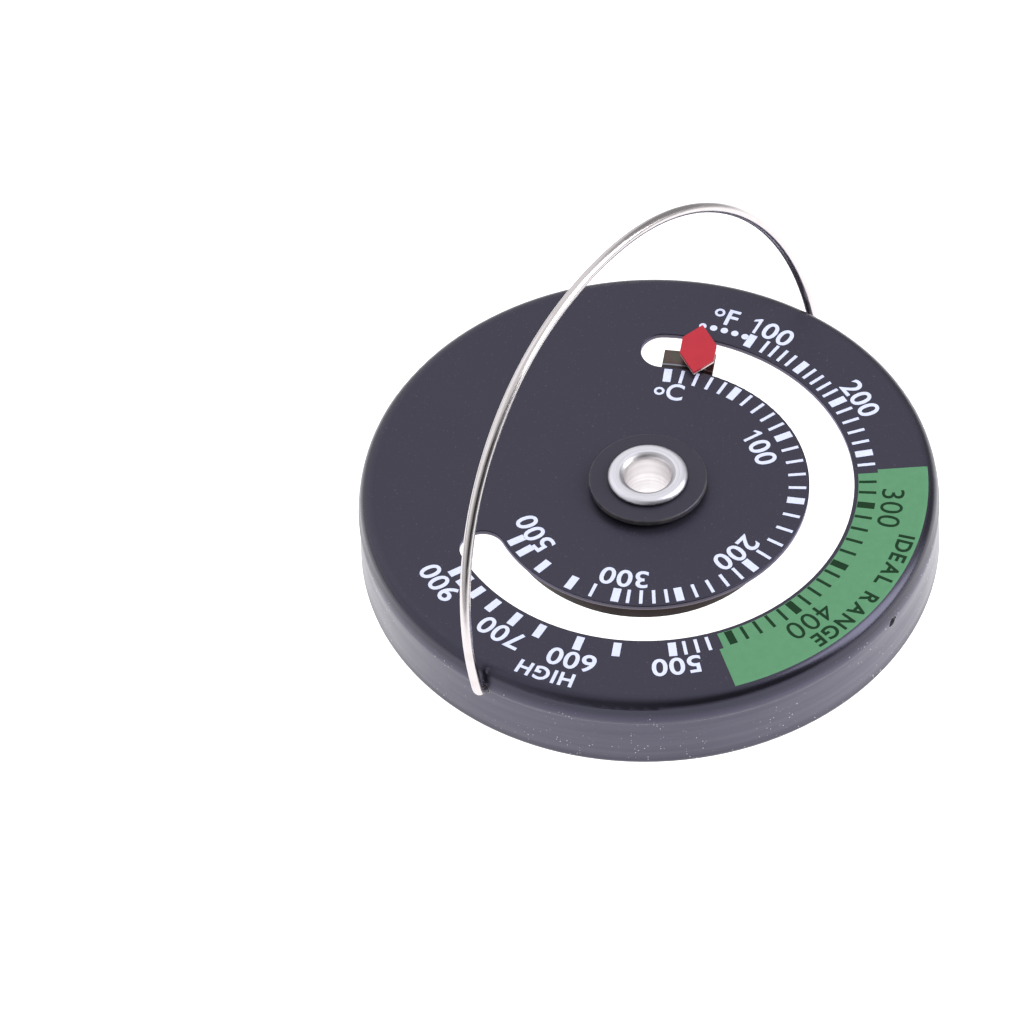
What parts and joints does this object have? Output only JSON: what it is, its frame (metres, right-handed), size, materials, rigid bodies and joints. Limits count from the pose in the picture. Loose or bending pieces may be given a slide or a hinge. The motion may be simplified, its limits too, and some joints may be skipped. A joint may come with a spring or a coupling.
{
  "type": "magnetic surface thermometer",
  "caption": "Round magnetic stove thermometer: black dial with a curved slot, red pointer flag on a bimetal coil, hollow centre rivet and a swinging wire bail.",
  "frame": {"origin": "centre of the magnet's contact face, on the rivet's axis: the surface that sits on the stove", "axes": "+Z along the rivet, out of the dial; +X to the right of the dial as it is seen with the cold end of the slot at the top; azimuths anticlockwise"},
  "size_m": [0.063, 0.063, 0.0394],
  "materials": {
    "black_enamel": "matte heat-resistant black paint on sheet steel, printed dial",
    "stainless_wire": "drawn stainless wire, bright satin",
    "black_washer": "satin black",
    "zinc_steel": "dull zinc plate",
    "eyelet_aluminium": "bright satin, formed",
    "hub_brass": "turned",
    "bimetal_strip": "heat-browned rolled strip",
    "red_flag": "satin red paint, bare cut edges",
    "ferrite": "dark grey sintered ferrite"
  },
  "bodies": {
    "case": {"dial_case": "black_enamel", "front_washer": "black_washer", "spacer_shim": "zinc_steel", "centre_eyelet": "eyelet_aluminium", "coil_hub": "hub_brass", "bimetal_coil": "bimetal_strip", "magnet_plate": "zinc_steel", "ring_magnet": "ferrite", "rear_washer": "zinc_steel"},
    "pointer": {"pointer_bracket": "bimetal_strip", "flag_stud": "zinc_steel", "pointer_flag": "red_flag"},
    "bail": {"bail_wire": "stainless_wire"}
  },
  "joints": [
    {"name": "pointer_turn", "type": "hinge", "parent": "case", "child": "pointer", "pos_m": [0, 0, 0.009], "axis": [0, 0, 1], "range_deg": [-231, 14], "stiffness_Nm_per_rad": 0.0002, "deforming": ["bimetal_coil"]},
    {"name": "bail_swing", "type": "hinge", "parent": "case", "child": "bail", "pos_m": [0, 0, 0.007], "axis": [0.5793, 0.8151, 0], "range_deg": [-77.6, 102.4]}
  ]
}
